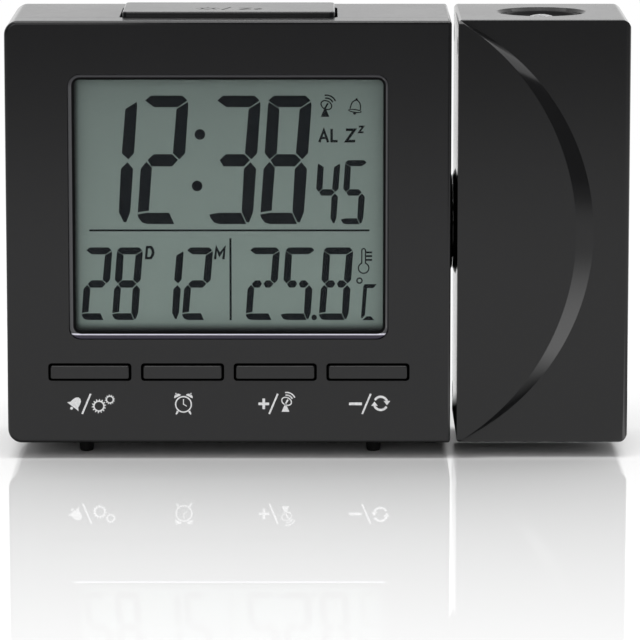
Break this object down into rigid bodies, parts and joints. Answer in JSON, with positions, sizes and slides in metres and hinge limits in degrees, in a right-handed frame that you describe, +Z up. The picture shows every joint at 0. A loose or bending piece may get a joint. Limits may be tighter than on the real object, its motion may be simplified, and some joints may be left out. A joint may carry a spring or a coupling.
{
  "type": "projection alarm clock",
  "caption": "Desktop alarm clock with a large reflective display, front buttons, a snooze bar on top, and a projector head that swivels on its side.",
  "frame": {"origin": "on the table, under the middle of the whole clock", "axes": "+X towards the projector head, -Y towards the front, +Z up"},
  "size_m": [0.134, 0.0386, 0.0963],
  "materials": {
    "case_black": "semi-gloss black moulded plastic",
    "button_black": "semi-gloss black moulded plastic",
    "window_clear": "clear, bevelled edge",
    "lcd_face": "grey-green reflective display",
    "white_plastic": "matt",
    "board_green": "solder mask",
    "chip_black": "matt moulded",
    "steel": "plated",
    "led_amber": "clear",
    "contact_rubber": "soft",
    "foot_rubber": "matt",
    "wire_red": "insulated wire",
    "ferrite": "sintered",
    "copper_wire": "enamelled winding",
    "cell_wrap": "plain sleeve",
    "optic_black": "matt black",
    "lens_glass": "clear"
  },
  "bodies": {
    "case": {"front_bezel": "case_black", "rear_shell": "case_black", "window_lens": "window_clear", "lcd_panel": "lcd_face", "lcd_frame": "white_plastic", "light_guide": "white_plastic", "backlight_leds": "led_amber", "zebra_strip": "contact_rubber", "main_board": "board_green", "clock_chips": "chip_black", "crystal": "steel", "key_switches": "chip_black", "wire_connector": "white_plastic", "case_wires": "wire_red", "board_leads": "wire_red", "antenna_rod": "ferrite", "antenna_coil": "copper_wire", "buzzer": "chip_black", "thermistor": "chip_black", "snooze_board": "board_green", "snooze_switch": "chip_black", "snooze_springs": "steel", "dc_jack": "chip_black", "battery_cells": "cell_wrap", "battery_springs": "steel", "battery_plates": "steel", "rubber_feet": "foot_rubber", "case_screws": "steel", "board_screws": "steel"},
    "projector_head": {"head_shell": "case_black", "head_side_cover": "case_black", "hub_washer": "steel", "hub_retainer": "optic_black", "retainer_screws": "steel", "head_screws": "steel", "optic_tube": "optic_black", "optic_screws": "steel", "condenser_lens": "lens_glass", "slide_lcd": "lcd_face", "projector_board": "board_green", "projector_led": "led_amber", "head_connector": "white_plastic", "head_wires": "wire_red"},
    "focus_ring": {"focus_ring": "optic_black"},
    "lens_carrier": {"lens_cell": "optic_black", "projection_lens": "lens_glass"},
    "snooze_bar": {"snooze_bar": "button_black"},
    "battery_cover": {"battery_cover": "case_black"},
    "alarm_set_button": {"alarm_set_button": "button_black"},
    "alarm_button": {"alarm_button": "button_black"},
    "plus_button": {"plus_button": "button_black"},
    "minus_button": {"minus_button": "button_black"}
  },
  "joints": [
    {"name": "projector_swivel", "type": "hinge", "parent": "case", "child": "projector_head", "pos_m": [0.0293, 0, 0.0493], "axis": [1, 0, 0], "range_deg": [-90, 90]},
    {"name": "focus_turn", "type": "hinge", "parent": "projector_head", "child": "focus_ring", "pos_m": [0.0485, 0, 0.0946], "axis": [0, 0, 1], "range_deg": [-60, 60]},
    {"name": "lens_rise", "type": "slide", "parent": "projector_head", "child": "lens_carrier", "axis": [0, 0, 1], "range_m": [-0.0006, 0.0006]},
    {"name": "alarm_set_button_press", "type": "slide", "parent": "case", "child": "alarm_set_button", "axis": [0, 1, 0], "range_m": [0, 0.0005], "stiffness_N_per_m": 600, "springref_m": -0.001},
    {"name": "alarm_button_press", "type": "slide", "parent": "case", "child": "alarm_button", "axis": [0, 1, 0], "range_m": [0, 0.0005], "stiffness_N_per_m": 600, "springref_m": -0.001},
    {"name": "plus_button_press", "type": "slide", "parent": "case", "child": "plus_button", "axis": [0, 1, 0], "range_m": [0, 0.0005], "stiffness_N_per_m": 600, "springref_m": -0.001},
    {"name": "minus_button_press", "type": "slide", "parent": "case", "child": "minus_button", "axis": [0, 1, 0], "range_m": [0, 0.0005], "stiffness_N_per_m": 600, "springref_m": -0.001},
    {"name": "snooze_press", "type": "slide", "parent": "case", "child": "snooze_bar", "axis": [0, 0, -1], "range_m": [0, 0.0009], "stiffness_N_per_m": 500, "springref_m": -0.002, "deforming": ["snooze_springs"]},
    {"name": "battery_cover_lift", "type": "slide", "parent": "case", "child": "battery_cover", "axis": [0, 1, 0], "range_m": [0, 0.012]}
  ],
  "couplings": [
    {"joint": "focus_turn", "follows": "lens_rise", "rad_per_m": 1745}
  ]
}
